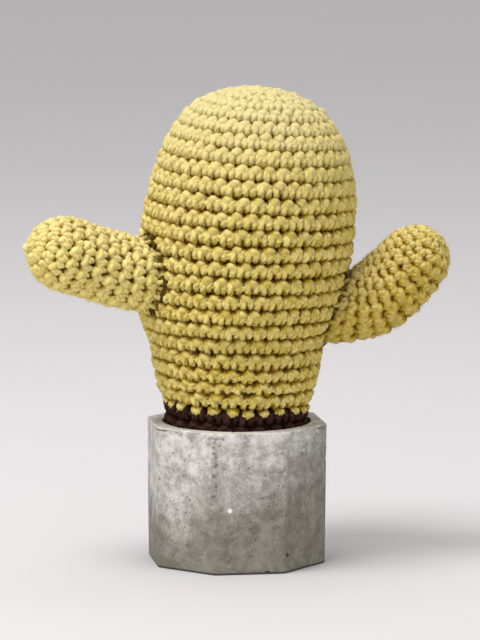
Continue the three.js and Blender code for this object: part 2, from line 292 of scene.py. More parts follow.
GREEN = "green_yarn"
BROWN = "brown_yarn"
CONCRETE = "concrete"
STUFFING = "stuffing"
YARN_UV = "yarn"
SHEEN_TINT = (1.0, 0.84, 0.35, 1)
GREEN_SHEEN = 0.28
GREEN_SHADES = [              # painted shade between the stitches, painted shadow in the holes, and darkest painted shadow in the seam of an arm
    (0.38, 0.25, 0.006, 1), (0.25, 0.105, 0.002, 1), (0.06, 0.036, 0.003, 1),
]
# dark colours of the inner loops, as painted shade
GREEN_INSIDE_SHADED = [(0.27, 0.175, 0.008, 1), (0.075, 0.031, 0.001, 1)]
BROWN_WARM = (0.055, 0.026, 0.020, 1)
# painted top light on the brown yarn's sides that face up
BROWN_TOP_LIT = (0.060, 0.028, 0.022, 1)
BROWN_SHADES = [(0.040, 0.017, 0.012, 1), (0.025, 0.010, 0.007, 1), (0.015, 0.006, 0.004, 1)]
# the same for the brown cup
BROWN_INSIDE_SHADED = [(0.035, 0.016, 0.012, 1), (0.015, 0.007, 0.005, 1)]
FILL_WHITES = [(0.70, 0.68, 0.64, 1), (0.92, 0.91, 0.88, 1)]
# dark lower tone and pale bloom of the concrete, the bloom partly painted light
CONCRETE_DARK = [(0.15, 0.14, 0.112, 1), (0.265, 0.255, 0.215, 1)]
CONCRETE_BLOOM_AND_LIGHT = [(0.31, 0.296, 0.267, 1), (0.70, 0.68, 0.656, 1)]
CONCRETE_WARM = (0.44, 0.36, 0.33, 1)
CONCRETE_SAND = (0.70, 0.69, 0.65, 1)
CONCRETE_GRIT = (0.12, 0.115, 0.09, 1)
# painted shade in the small pits of the bump
CONCRETE_PIT_SHADE = (0.10, 0.095, 0.08, 1)
CONCRETE_RIM = (0.66, 0.63, 0.60, 1)
# painted shade along the foot
CONCRETE_FOOT_SHADE = (0.045, 0.04, 0.03, 1)

# Camera and lights
CAMERA_LENS = 225             # in millimetres, as are the next two
CAMERA_SENSOR = 36
CAMERA_TARGET = (1.47, 0, 112.99)
CAMERA_DISTANCE = 1.864       # from the target
CAMERA_ELEVATION = math.radians(7.88)
CAMERA_ROLL = math.radians(0.13)
FLOOR_HALF = 8.0              # half of its width
SKY = (1.0, 0.99, 0.97, 1)
LAMP_AIM = (0, 0, 0.13)       # point that the lamps face
LAMP_SIZE = 0.9
LAMPS = {                     # place and colour
    "key": ((-0.62, -0.5, 1.8), (1.0, 0.975, 0.94)),
    "front": ((-0.6, -1.5, 0.3), (1.0, 0.99, 0.97)),
    "top": ((0.05, 0.35, 1.5), (1.0, 0.98, 0.95)),
}


def unit(vectors):
    return vectors / np.linalg.norm(vectors, axis=-1, keepdims=True)


def smooth_line(points, steps=24):
    """Points of a Catmull-Rom curve through the given points."""
    padded = np.concatenate([points[:1], points, points[-1:]])
    t = np.linspace(0, 1, steps, endpoint=False)[:, None]
    parts = []
    for before, start, end, after in zip(padded, padded[1:], padded[2:], padded[3:]):
        leave = (end - before) / 2
        arrive = (after - start) / 2
        cubic = 2 * start - 2 * end + leave + arrive
        square = 3 * end - 3 * start - 2 * leave - arrive
        parts.append(cubic * t**3 + square * t**2 + leave * t + start)
    return np.concatenate(parts + [points[-1:]])


def smoothstep(value, low, high):
    share = np.clip((value - low) / (high - low), 0, 1)
    return share * share * (3 - 2 * share)


def spiral_holes(stitches, lean):
    """Angle, width and round of the hole that each stitch comes out of, along one spiral."""
    holes = []
    angle = 0
    for number, count in enumerate(stitches):
        width = TURN / (count + lean)
        while angle < TURN * (number + 1) - width / 2:
            holes.append((angle, width, number))
            angle += width
    return np.array(holes).T


def ring_holes(stitches, lean):
    """The same for stitches in closed rounds."""
    holes = []
    for number, count in enumerate(stitches):
        width = TURN / count
        start = TURN * number
        holes += [(start + (place - lean * number) * width, width, number) for place in range(count)]
    return np.array(holes).T


def travelled(points):
    """Distance along a line of points, from its start to each of them."""
    steps = np.linalg.norm(np.diff(points, axis=-2), axis=-1)
    return np.concatenate([np.zeros_like(steps[..., :1]), np.cumsum(steps, axis=-1)], axis=-1)


class Line:
    """Smooth line through points in millimetres, found by the distance along it."""

    def __init__(self, points):
        self.points = smooth_line(np.array(points, float) * MM)
        self.distances = travelled(self.points)
        self.length = self.distances[-1]

    def at(self, distance):
        return np.stack([np.interp(distance, self.distances, column) for column in self.points.T])


class Fabric:
    """Crocheted face. A point is found by the distance along the fabric from its closed tip and the
    angle round it, and lifted off the tops of the stitches along the face's normal."""

    def __init__(self, holes, lean, round_height, spiral, tone=0.0, top_light_share=1.0, openness=1.0):
        self.holes = holes
        self.lean = lean
        self.round_height = round_height
        self.spiral = spiral
        self.tone = tone
        self.top_light_share = top_light_share
        self.openness = openness
        self.seams = np.zeros((0, 3))

    def point(self, along, angle):
        raise NotImplementedError

    def normal(self, along, angle):
        down = self.point(along + FLAT_STEP, angle) - self.point(along - FLAT_STEP, angle)
        across = self.point(along, angle + ROUND_STEP) - self.point(along, angle - ROUND_STEP)
        return unit(np.cross(down, across))

    def lifted(self, along, angle, lift):
        """Points at a height over the face, and the face's normals there."""
        along = np.maximum(along, 2 * FLAT_STEP)
        normal = self.normal(along, angle)
        return self.point(along, angle) + normal * lift[..., None], normal

    def distance(self, level):
        """Distance of the upper edge of a round from the tip."""
        return level * self.round_height

    def edge(self, turned, level):
        """The same, with the small waves that hand work has."""
        waves = sum(height * np.sin(rate * turned + start) for height, rate, start in WAVES)
        return np.maximum(self.distance(level) + waves * MM, TIP_EDGE * self.round_height)

    def between(self, first, last):
        """Holes of the rounds from one number up to another."""
        number = self.holes[2]
        return self.holes[:, (number >= first) & (number < last)]

    def snug(self, holes):
        """Thickness of the yarn at holes, against that in the middle of the body."""
        return np.ones((holes.shape[1], 1))

    def open(self, holes):
        """How open the fabric is between the stitches, from 0, closed, up to 1 or a little more, which sets
        how much painted shade lies there.
        """
        return np.full((holes.shape[1], 1, 1), self.openness)

    def relief(self, holes):
        """How far the stitches stand out, against those in the middle of the body."""
        return np.full((holes.shape[1], 1), ARM_RELIEF)

    def gloom(self, points):
        """Shade on yarn that lies close to the seam of an arm."""
        if not len(self.seams):
            return np.zeros(points.shape[:-1])
        squared = ((points[..., None, :] - self.seams) ** 2).sum(-1).min(-1)
        return np.minimum(SEAM_SHADE * np.exp(-squared / SEAM_REACH**2), 1)

    def place(self, holes, path):
        """Points and normals for paths in cells, given as across, down and lift for each hole."""
        angle, width, number = (part[:, None] for part in holes)
        across, down, lift = np.moveaxis(path, -1, 0)
        turned = angle + (across - self.lean * down) * width
        turned = turned + SWAY * width * np.sin(SWAY_RATES[0] * turned + SWAY_RATES[1] * down)
        level = turned / TURN - 0.5 if self.spiral else number
        upper = self.edge(turned - TURN, level)
        lower = self.edge(turned, level + 1)
        return self.lifted(upper + down * (lower - upper), turned + math.pi, lift * MM)


class Body(Fabric):
    """The body and, below it, the brown cup: a leaning outline turned round its axis."""

    def __init__(self):
        self.outline = Line(BODY_OUTLINE + SOIL_SIDE)
        holes = spiral_holes(BODY_STITCHES + SOIL_STITCHES + SOIL_STITCHES[-1:], COLUMN_LEAN)
        super().__init__(holes, COLUMN_LEAN, BODY_ROUND, spiral=True)

    def point(self, along, angle):
        height, radius = self.outline.at(along)
        lean = smoothstep(height, LEAN_FROM, LEAN_TO)
        x = BODY_LEAN * lean + radius * np.sin(angle)
        z = height - ROUND_TILT * lean * radius * np.sin(angle)
        return np.stack([x, -radius * np.cos(angle), z], axis=-1)

    def distance(self, level):
        return super().distance(level) - BASE_PULL * smoothstep(level, *BASE_PULL_LEVELS)

    def below_crown(self, holes, rounds):
        """Share of the way from the crown to where it no longer shows, from 1 down to 0."""
        return np.clip(1 - holes[2][:, None] / rounds, 0, 1)

    def snug(self, holes):
        extra, rounds = CROWN_PLUMP
        return 1 + extra * self.below_crown(holes, rounds)

    def open(self, holes):
        least, rounds = CROWN_OPEN
        more, first = BASE_OPEN
        return np.clip(least + holes[2] / rounds, 0, WIDEST_OPEN + more * (holes[2] > first))[:, None, None]

    def relief(self, holes):
        lack, rounds = CROWN_FLAT
        return 1 - lack * self.below_crown(holes, rounds)

    def holds(self, points, margin):
        """Whether points are inside the body's envelope with a margin added to it."""
        lean = smoothstep(points[..., 2], LEAN_FROM, LEAN_TO)
        x = points[..., 0] - BODY_LEAN * lean
        heights, radii = self.outline.points.T
        radius = np.interp(-(points[..., 2] + ROUND_TILT * lean * x), -heights, radii)
        return np.hypot(x, points[..., 1]) < radius + margin


class Arm(Fabric):
    """An outline turned round a spine that bends in an upright plane, ending on the body."""

    def __init__(self, arm, body):
        heading = math.radians(arm["heading"])
        outward = np.array([math.sin(heading), -math.cos(heading), 0])
        self.side = np.cross([0, 0, 1], outward)
        self.spine = Line([
            np.array([arm["axis"], 0, height]) + reach * outward for reach, height in arm["spine"]
        ])
        self.outline = Line(arm["outline"])
        self.seam_angles = np.linspace(0, TURN, SEAM_PLACES, endpoint=False)
        self.seam_shift = np.zeros(len(self.seam_angles))
        self.seam = 1
        first, spare, step = SEAM_SEARCH
        lengths = np.arange(first, self.outline.length - spare, step)
        grid = self.point(lengths[:, None], self.seam_angles[None, :])
        meets = lengths[np.argmax(body.holds(grid, -SEAM_SINK), axis=0)]
        self.seam = meets.mean()
        self.seam_shift = meets - self.seam
        self.rounds = arm["rounds"]
        stitches = ARM_STITCHES + ARM_STITCHES[-1:] * (self.rounds + 1 - len(ARM_STITCHES))
        super().__init__(ring_holes(stitches, ARM_LEAN), ARM_LEAN, self.seam / self.rounds, spiral=False,
                         tone=arm["tone"], top_light_share=ARM_TOP_LIGHT, openness=arm["open"])
        self.seams = self.point(np.full(len(self.seam_angles), self.seam), self.seam_angles)

    def snug(self, holes):
        """Fuller on the outside of the bend, where the rounds are higher."""
        angle, number = holes[[0, 2]]
        ends = [self.point(self.distance(level), angle + math.pi) for level in (number, number + 1)]
        height = np.linalg.norm(ends[1] - ends[0], axis=-1)
        return np.clip(height / self.round_height, *ARM_SNUG)[:, None]

    def point(self, along, angle):
        share = along / self.seam
        shift = np.interp(angle % TURN, self.seam_angles, self.seam_shift, period=TURN)
        distance, radius = self.outline.at(along + shift * share * share)
        ahead = self.on_spine(distance + MM) - self.on_spine(distance - MM)
        tangent = unit(ahead)
        up = np.cross(tangent, self.side)
        across = np.cross(up, tangent)
        radius = radius - ARM_PINCH * smoothstep(along, self.seam - PINCH_REACH, self.seam)
        turned = up * np.cos(angle)[..., None] + across * np.sin(angle)[..., None]
        return self.on_spine(distance) + radius[..., None] * turned

    def on_spine(self, distance):
        return np.moveaxis(self.spine.at(distance), 0, -1)


def sweep(points, normals, radius, sides):
    """Rings of vertices round yarn that runs through points, with its plies twisted along it."""
    tangent = unit(np.gradient(points, axis=1))
    up = unit(normals - (normals * tangent).sum(-1, keepdims=True) * tangent)
    side = np.cross(up, tangent)
    along = travelled(points)
    spot = TURN * np.arange(sides) / sides
    turn = spot + along[..., None] * TURN / PLY_PITCH
    reach = radius[..., None] * (1 + PLY_RELIEF * np.cos(PLIES * spot))
    right = (reach * np.cos(turn))[..., None] * side[:, :, None]
    over = (reach * np.sin(turn))[..., None] * up[:, :, None]
    return points[:, :, None] + right + over, along, reach * np.sin(turn)


def lay_yarn(fabric, holes, path, thickness, random, loose=1.0, lit=0.0, relief=None,
             samples=YARN_SAMPLES, sides=YARN_SIDES):
    """Yarn that follows one path of a stitch, once for each hole."""
    count = holes.shape[1]
    knots = np.array(path)
    weights = smooth_line(np.eye(len(knots)))
    chosen = np.linspace(0, len(weights) - 1, samples).round().astype(int)
    whole = random.normal(0, 1, (count, 1, 3)) * PATH_SPREAD
    each = random.normal(0, 1, (count, len(knots), 3)) * POINT_SPREAD
    line = np.einsum("km,nmd->nkd", weights[chosen], knots + loose * (whole + each))
    height = line[..., 2:].copy()
    relief = fabric.relief(holes) if relief is None else relief
    line[..., 2] = MEAN_LIFT + (line[..., 2] - MEAN_LIFT) * relief
    points, normals = fabric.place(holes, line)
    plump = random.normal(1, PLUMP_SPREAD, (count, 1)) * fabric.snug(holes) * thickness / 2
    swell = YARN_END + YARN_BELLY * np.sin(np.pi * np.linspace(0, 1, samples))
    rings, along, rise = sweep(points, normals, plump * swell, sides)
    along = along + random.uniform(0, YARN_TRAVEL, (count, 1))
    depth = height + rise / MM
    across, down = cell_places(fabric, holes, line, points, rings)
    shade, shadow = shading(across, down, depth, fabric.open(holes))
    gloom = fabric.gloom(points)[..., None] * (1 - lit)
    values = {
        # an arm's tone is painted light on all its yarn, and painted shade where it is below 0
        "tint": fabric.tone + random.normal(0, 1, (count, 1, 1)),
        "depth": depth,
        # painted top light: paler where the face points up
        "fade": fabric.top_light_share * normals[..., 2:],
        "shade": np.maximum(shade, gloom),
        "shadow": np.maximum(shadow, SEAM_SHADOW * smoothstep(gloom, *SEAM_DARK)),
    }
    return {"rings": rings, "along": along, "values": values}


def cell_places(fabric, holes, line, points, rings):
    """Share of a stitch across and share of a round down, for each vertex round yarn."""
    beside = (fabric.place(holes, line + (CELL_STEP, 0, 0))[0] - points)[:, :, None] / CELL_STEP
    below = (fabric.place(holes, line + (0, CELL_STEP, 0))[0] - points)[:, :, None] / CELL_STEP
    offset = rings - points[:, :, None]
    wide, high, slant = (beside**2).sum(-1), (below**2).sum(-1), (beside * below).sum(-1)
    right, down = (offset * beside).sum(-1), (offset * below).sum(-1)
    area = wide * high - slant**2
    across = line[..., :1] + (right * high - down * slant) / area
    return across, line[..., 1:2] + (down * wide - right * slant) / area


def shading(across, down, depth, openness):
    """How far painted shade darkens the yarn with depth, between the rounds and in creases, and how far
    painted shadow darkens it in the holes.
    """
    beside = (across + 0.5) % 1 - 0.5
    below = (down + 0.5) % 1 - 0.5
    wave = np.cos(TURN * across)
    swing = SCALLOP * (wave - 1)
    groove = np.exp(-((below - swing) / GROOVE) ** 2) * (1 - GROOVE_BREAK + GROOVE_BREAK * wave)
    hole = np.exp(-(beside / HOLE_ACROSS) ** 2 - (below / HOLE_DOWN) ** 2)
    crease = np.exp(-((beside - CREASE_LEAN * below) / CREASE) ** 2)
    crease = crease * smoothstep(below, *CREASE_FADE) * (below < 0)
    deep = DEPTH_SHADE * smoothstep(-depth, *SHADE_DEPTHS)
    lines = LINE_SHADE * np.maximum(groove, crease) * openness
    closed, more = HOLE_DEPTH
    counted = -depth + hole * (closed + more * openness) + CREASE_DEPTH * crease * openness
    return 1 - (1 - deep) * (1 - lines), smoothstep(counted, *SHADOW_DEPTHS)


def tube_faces(strands):
    """Vertices, faces, corner coordinates and values of closed tubes of equal counts."""
    rings, along, values = strands["rings"], strands["along"], strands["values"]
    count, length, sides = rings.shape[:3]
    vertices = with_ends(rings)
    here = np.arange(sides)
    beside = (here + 1) % sides
    start = np.arange(length - 1)[:, None] * sides
    quads = np.stack([start + here, start + beside, start + sides + beside, start + sides + here], -1)
    last = (length - 1) * sides
    caps = np.concatenate([
        np.stack([beside, here, np.full(sides, last + sides)], -1),
        np.stack([last + here, last + beside, np.full(sides, last + sides + 1)], -1),
    ])
    first = np.arange(count)[:, None, None] * vertices.shape[1]
    around = np.stack([here, here + 1, here + 1, here], -1) / sides
    around = np.broadcast_to(around, (count, length - 1, sides, 4))
    travel = np.stack([along[:, :-1], along[:, :-1], along[:, 1:], along[:, 1:]], -1) / MM
    travel = np.broadcast_to(travel[:, :, None], around.shape)
    cap_around = np.broadcast_to(np.stack([here + 1, here, here + 0.5], -1) / sides, (count, 2, sides, 3))
    cap_travel = np.broadcast_to(along[:, [0, -1], None, None] / MM, cap_around.shape)
    return {
        "vertices": vertices.reshape(-1, 3),
        "quads": (first + quads.reshape(1, -1, 4)).reshape(-1, 4),
        "caps": (first + caps[None]).reshape(-1, 3),
        "quad_uv": np.stack([around, travel], -1).reshape(-1, 2),
        "cap_uv": np.stack([cap_around, cap_travel], -1).reshape(-1, 2),
        "values": {
            key: with_ends(np.broadcast_to(value, rings.shape[:3])[..., None]).ravel()
            for key, value in values.items()
        },
    }


def ring(radius, angle, height):
    """Ring of vertices round the upright axis, at angles from the front."""
    across, along = radius * np.sin(angle), -radius * np.cos(angle)
    return np.stack(np.broadcast_arrays(across, along, height), axis=-1)


def with_ends(rings):
    """Rings in one row for each tube, followed by the middles of its first and its last ring."""
    ends = rings[:, [0, -1]].mean(2)
    return np.concatenate([rings.reshape(len(rings), -1, rings.shape[-1]), ends], axis=1)


def add_tubes(name, parts, material, slot, replaced):
    """Mesh object of closed tubes."""
    made = [tube_faces(part) for part in parts]
    first = np.cumsum([0] + [len(one["vertices"]) for one in made])
    vertices = np.concatenate([one["vertices"] for one in made])
    quads = np.concatenate([one["quads"] + start for one, start in zip(made, first)])
    caps = np.concatenate([one["caps"] + start for one, start in zip(made, first)])
    uv = np.concatenate([one["quad_uv"] for one in made] + [one["cap_uv"] for one in made])
    values = {key: np.concatenate([one["values"][key] for one in made]) for key in made[0]["values"]}
    return add_mesh(name, vertices, quads, caps, material, slot, replaced, uv, values)


def add_mesh(name, vertices, quads, triangles, material, slot, replaced, uv=None, attributes=None):
    """Mesh object that stands for the replaced nodes, or belongs to none where it has no slot."""
    mesh = bpy.data.meshes.new(name)
    mesh.vertices.add(len(vertices))
    mesh.vertices.foreach_set("co", vertices.astype(np.float32).ravel())
    mesh.loops.add(quads.size + triangles.size)
    corners = np.concatenate([quads.ravel(), triangles.ravel()])
    mesh.loops.foreach_set("vertex_index", corners.astype(np.int32))
    starts = [np.arange(len(quads)) * 4, quads.size + np.arange(len(triangles)) * 3]
    mesh.polygons.add(len(quads) + len(triangles))
    mesh.polygons.foreach_set("loop_start", np.concatenate(starts).astype(np.int32))
    mesh.polygons.foreach_set("use_smooth", np.ones(len(mesh.polygons), bool))
    if uv is not None:
        layer = mesh.uv_layers.new(name=YARN_UV)
        layer.data.foreach_set("uv", uv.astype(np.float32).ravel())
    for key, values in (attributes or {}).items():
        layer = mesh.attributes.new(key, "FLOAT", "POINT")
        layer.data.foreach_set("value", values.astype(np.float32))
    mesh.update(calc_edges=True)
    mesh.validate()
    mesh.materials.append(material)
    piece = bpy.data.objects.new(name, mesh)
    bpy.context.scene.collection.objects.link(piece)
    if slot:
        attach(piece, "root")
        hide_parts(*replaced)
    return piece


def add_skin(name, rings, material, slot, replaced):
    """Closed mesh through rings of equal counts, the first and the last closed by a point."""
    part = {"rings": rings[None], "along": np.zeros((1, len(rings))), "values": {}}
    return add_tubes(name, [part], material, slot, replaced)


def crochet(fabric, name, first, last, stitch, material, slot, replaced, thickness, random, extra=()):
    """Stitches of the rounds from one number up to another, with the loops at their lower edges."""
    here = fabric.between(first, last)
    below = fabric.between(first + 1, last + 1)
    outer = [lay_yarn(fabric, here, path, thickness * share, random) for share, path in stitch["legs"]]
    share, path = stitch["loop"]
    outer += [lay_yarn(fabric, below, path, thickness * share, random), *extra]
    share, path = stitch["back"]
    inner = lay_yarn(fabric, here, path, thickness * share, random, samples=BACK_SAMPLES, sides=BACK_SIDES)
    add_tubes(name, [*outer, inner], material, slot, replaced)
    return outer


def fabric_rings(fabric, distances, lift, sides):
    """Rings of vertices at distances along the fabric, at one lift over its face or one for each."""
    angle = np.linspace(0, TURN, sides, endpoint=False)
    along, angle = np.meshgrid(distances, angle, indexing="ij")
    return fabric.lifted(along, angle, np.full(along.shape, lift))[0]


class Value:
    """Output of a shader node. Arithmetic on it adds Math nodes."""

    def __init__(self, shader, socket):
        self.shader = shader
        self.socket = socket

    def __add__(self, other):
        return self.shader.math("ADD", self, other)

    def __sub__(self, other):
        return self.shader.math("SUBTRACT", self, other)

    def __rsub__(self, other):
        return self.shader.math("SUBTRACT", other, self)

    def __mul__(self, other):
        return self.shader.math("MULTIPLY", self, other)

    def __truediv__(self, other):
        return self.shader.math("DIVIDE", self, other)

    def __rtruediv__(self, other):
        return self.shader.math("DIVIDE", other, self)

    def __pow__(self, other):
        return self.shader.math("POWER", self, other)

    def __rpow__(self, other):
        return self.shader.math("POWER", other, self)

    __radd__ = __add__
    __rmul__ = __mul__


class Shader:
    """Node tree of one finish."""

    def __init__(self, name, **constants):
        self.material = bpy.data.materials.new(name)
        self.material.use_nodes = True
        self.tree = self.material.node_tree
        self.surface = next(node for node in self.tree.nodes if node.type == "BSDF_PRINCIPLED")
        for socket, value in constants.items():
            self.surface.inputs[socket.replace("_", " ")].default_value = value

    def node(self, kind, settings=None, inputs=None, output=0):
        """Adds a node of a kind, with its settings first and then values or links for its sockets."""
        node = self.tree.nodes.new("ShaderNode" + kind)
        for key, value in (settings or {}).items():
            setattr(node, key, value)
        for key, value in (inputs or {}).items():
            self.feed(node.inputs[key], value)
        return Value(self, node.outputs[output])

    def feed(self, socket, value):
        if isinstance(value, Value):
            self.tree.links.new(value.socket, socket)
        else:
            socket.default_value = value

    def set(self, socket, value):
        self.feed(self.surface.inputs[socket], value)

    def math(self, operation, *values):
        return self.node("Math", {"operation": operation}, dict(enumerate(values)))

    def mix(self, share, low, high):
        return self.node("Mix", {"data_type": "RGBA"}, {0: share, 6: low, 7: high}, 2)

    def ease(self, value, low, high, start=0.0, end=1.0):
        """Smooth step from one value to another while the input goes from low to high."""
        inputs = {"Value": value, "From Min": low, "From Max": high, "To Min": start, "To Max": end}
        return self.node("MapRange", {"interpolation_type": "SMOOTHSTEP"}, inputs)

    def noise(self, place, scale, detail=3.0, roughness=0.5):
        inputs = {"Vector": place, "Scale": scale, "Detail": detail, "Roughness": roughness}
        return self.node("TexNoise", {}, inputs)

    def place(self):
        return self.node("TexCoord", {}, {}, "Object")

    def attribute(self, name):
        return self.node("Attribute", {"attribute_name": name}, {}, "Fac")

    def bump(self, height, distance, strength):
        return self.node("Bump", {}, {"Height": height, "Distance": distance, "Strength": strength})


def yarn_finish(name, pale, deep, warm, painted_top_colour, shade, shadow, deepest, sheen):
    """Soft twisted yarn: plies and fibres along the twist, uneven dye, painted light on the sides that face
    up, painted shade in the grooves and between the stitches, and painted shadow in the holes.
    """
    shader = Shader(name, Roughness=0.95, Specular_IOR_Level=0.05, Sheen_Weight=sheen, Sheen_Roughness=0.4,
                    Sheen_Tint=SHEEN_TINT)
    uv = shader.node("UVMap", {"uv_map": YARN_UV})
    turn = shader.node("SeparateXYZ", {}, {0: uv}, "X") * TURN
    travel = shader.node("SeparateXYZ", {}, {0: uv}, "Y")
    groove = 1 - (shader.math("COSINE", turn * PLIES) * 0.5 + 0.5) ** 0.5
    place = shader.place()
    tint, fade, dim, dark = (shader.attribute(key) for key in ("tint", "fade", "shade", "shadow"))
    round_yarn, along_yarn = 5.5, 0.8     # how fine the fibres are, round the yarn and along it
    circle = [shader.math(wave, turn) * round_yarn for wave in ("COSINE", "SINE")]
    fine = shader.node("CombineXYZ", {}, {0: circle[0], 1: circle[1], 2: travel * along_yarn})
    fibres = shader.noise(fine, scale=1.0, detail=3.0, roughness=0.65)
    cloud = shader.noise(place, scale=210.0, detail=3.0, roughness=0.6)
    dye = shader.noise(place, scale=170.0, detail=2.0)
    # the grooves between the plies take a darker share, as painted shade
    share = fibres * 0.9 + cloud * 0.5 + tint * 0.05 - groove * 0.22 - 0.15
    colour = shader.mix(shader.ease(share, 0.2, 0.8), deep, pale)
    colour = shader.mix(shader.ease(dye + fibres * 0.3, 0.5, 0.85, end=0.4), colour, warm)
    colour = shader.mix(shader.ease(fade, -0.3, 0.95, end=0.85), colour, painted_top_colour)
    # painted shade between the stitches, then painted shadow in the holes, darkest in the seams of the arms
    colour = shader.mix(shader.ease(dim + (fibres - 0.5) * 0.3, 0.12, 0.9), colour, shade)
    colour = shader.mix(dark - 1, shader.mix(dark, colour, shadow), deepest)
    shader.set("Base Color", colour)
    height = fibres * 0.5 - groove * 0.8 + cloud * 0.2
    shader.set("Normal", shader.bump(height, distance=0.35 * MM, strength=0.8))
    return shader.material


def shaded_inside_finish(name, dark, darker, pits):
    """Inner loops of the fabric in colours darker than the yarn, as painted shade, mottled, and with painted
    shadow darkest in the holes where there are pits and at the seams of the arms.
    """
    shader = Shader(name, Roughness=1.0, Specular_IOR_Level=0.1)
    mottle = shader.noise(shader.place(), scale=420.0, detail=3.0)
    if pits:
        share = shader.ease(shader.attribute("pit") + mottle * 0.4, 0.15, 0.75)
    else:
        share = shader.ease(mottle, 0.3, 0.7)
    shader.set("Base Color", shader.mix(share, dark, darker))
    shader.set("Normal", shader.bump(mottle, distance=0.8 * MM, strength=0.8))
    return shader.material


def fibrefill_finish():
    """White polyester fibrefill."""
    shader = Shader("fibrefill", Roughness=1.0, Sheen_Weight=0.5, Specular_IOR_Level=0.1)
    cloud = shader.noise(shader.place(), scale=90.0, detail=6.0, roughness=0.65)
    shader.set("Base Color", shader.mix(cloud, *FILL_WHITES))
    shader.set("Normal", shader.bump(cloud, distance=3 * MM, strength=0.7))
    return shader.material


def concrete_finish():
    """Cast concrete: pale bloom high on the left, partly its own and partly painted light from the upper
    left, darker and browner low down, with specks and marks.
    """
    shader = Shader("cast_concrete", Specular_IOR_Level=0.3)
    place = shader.place()
    x, y, z = (shader.node("SeparateXYZ", {}, {0: place}, axis) for axis in "XYZ")
    broad = shader.noise(place, scale=26.0, detail=5.0, roughness=0.6)
    mottle = shader.noise(place, scale=150.0, detail=6.0, roughness=0.7)
    grain = shader.noise(place, scale=850.0, detail=3.0, roughness=0.7)
    drips = shader.node("CombineXYZ", {}, {0: x * 260, 1: y * 260, 2: z * 60})
    streaks = shader.noise(drips, scale=1.0, detail=4.0, roughness=0.6)
    bloom_and_light = shader.ease((z - x * BLOOM_AND_LIGHT_SLOPE) / POT_HEIGHT + (broad - 0.5) * 1.3, 0.30, 0.85)
    patch = mottle * 0.84 + streaks * 0.16
    dark = shader.mix(shader.ease(patch, 0.34, 0.66), *CONCRETE_DARK)
    light = shader.mix(shader.ease(patch, 0.34, 0.64), *CONCRETE_BLOOM_AND_LIGHT)
    colour = shader.mix(bloom_and_light, dark, light)
    colour = shader.mix(shader.ease(broad, 0.55, 0.8, end=0.25), colour, CONCRETE_WARM)
    colour = shader.mix(shader.ease(grain, 0.54, 0.72) * (bloom_and_light * 0.3 + 0.15), colour, CONCRETE_SAND)
    colour = shader.mix(shader.ease(grain, 0.46, 0.30, end=0.6), colour, CONCRETE_GRIT)
    cells = shader.node("TexVoronoi", {}, {"Vector": place, "Scale": 330.0})
    rare = shader.ease(shader.noise(place, scale=60.0, detail=1.0), 0.5, 0.62)
    holes = shader.ease(cells, 0.22, 0.08) * rare
    # painted shade in the small pits of the bump
    colour = shader.mix(holes * 0.7, colour, CONCRETE_PIT_SHADE)
    rim = shader.ease(z, POT_HEIGHT - 0.9 * MM, POT_HEIGHT, end=0.35)
    colour = shader.mix(rim, colour, CONCRETE_RIM)
    front = shader.ease(y, 0.0, -5 * MM)
    ragged = (grain - 0.5) * 2.5
    for across, up, width, height, share, tone in MARKS:
        squared = ((x / MM - across) / width) ** 2 + ((z / MM - up) / height) ** 2
        mark = shader.ease(squared + ragged, 1.5, 0.5, end=share) * front
        colour = shader.mix(mark, colour, tone)
    # painted shade along the foot, under its rounded edge
    colour = shader.mix(shader.ease(z, 1.4 * MM, 0.6 * MM, end=0.85), colour, CONCRETE_FOOT_SHADE)
    shader.set("Base Color", colour)
    shader.set("Roughness", shader.ease(mottle, 0.3, 0.7, start=0.78, end=0.95))
    relief = mottle * 0.4 + grain * 0.35 - holes * 1.2
    shader.set("Normal", shader.bump(relief, distance=0.35 * MM, strength=0.8))
    return shader.material


def floor_finish(colour):
    shader = Shader("pale_floor", Roughness=0.85, Specular_IOR_Level=0.2)
    paper = shader.noise(shader.place(), scale=3.0, detail=2.0)
    dim = tuple(0.97 * part for part in colour)
    shader.set("Base Color", shader.mix(paper, (*dim, 1), (*colour, 1)))
    return shader.material


def octagon(angle, corner):
    """Radius of an octagon with slightly worn corners."""
    faces = np.arange(POT_CORNERS) * TURN / POT_CORNERS + POT_TURN + math.pi / POT_CORNERS
    near = np.maximum(np.cos(angle[..., None] - faces), 0.05)
    worn = (near**POT_SHARPNESS).sum(-1) ** (-1 / POT_SHARPNESS)
    return corner * math.cos(math.pi / POT_CORNERS) * worn


def dent(vertices, normals, centres, radii, depths):
    """Presses round dents into vertices, along their normals."""
    pressed = np.zeros(len(vertices))
    for centre, radius, depth in zip(centres, radii, depths):
        near = ((vertices - centre) ** 2).sum(-1) / radius**2
        pressed = np.maximum(pressed, depth * np.clip(1 - near, 0, 1) ** 1.5)
    return vertices - normals * pressed[:, None]


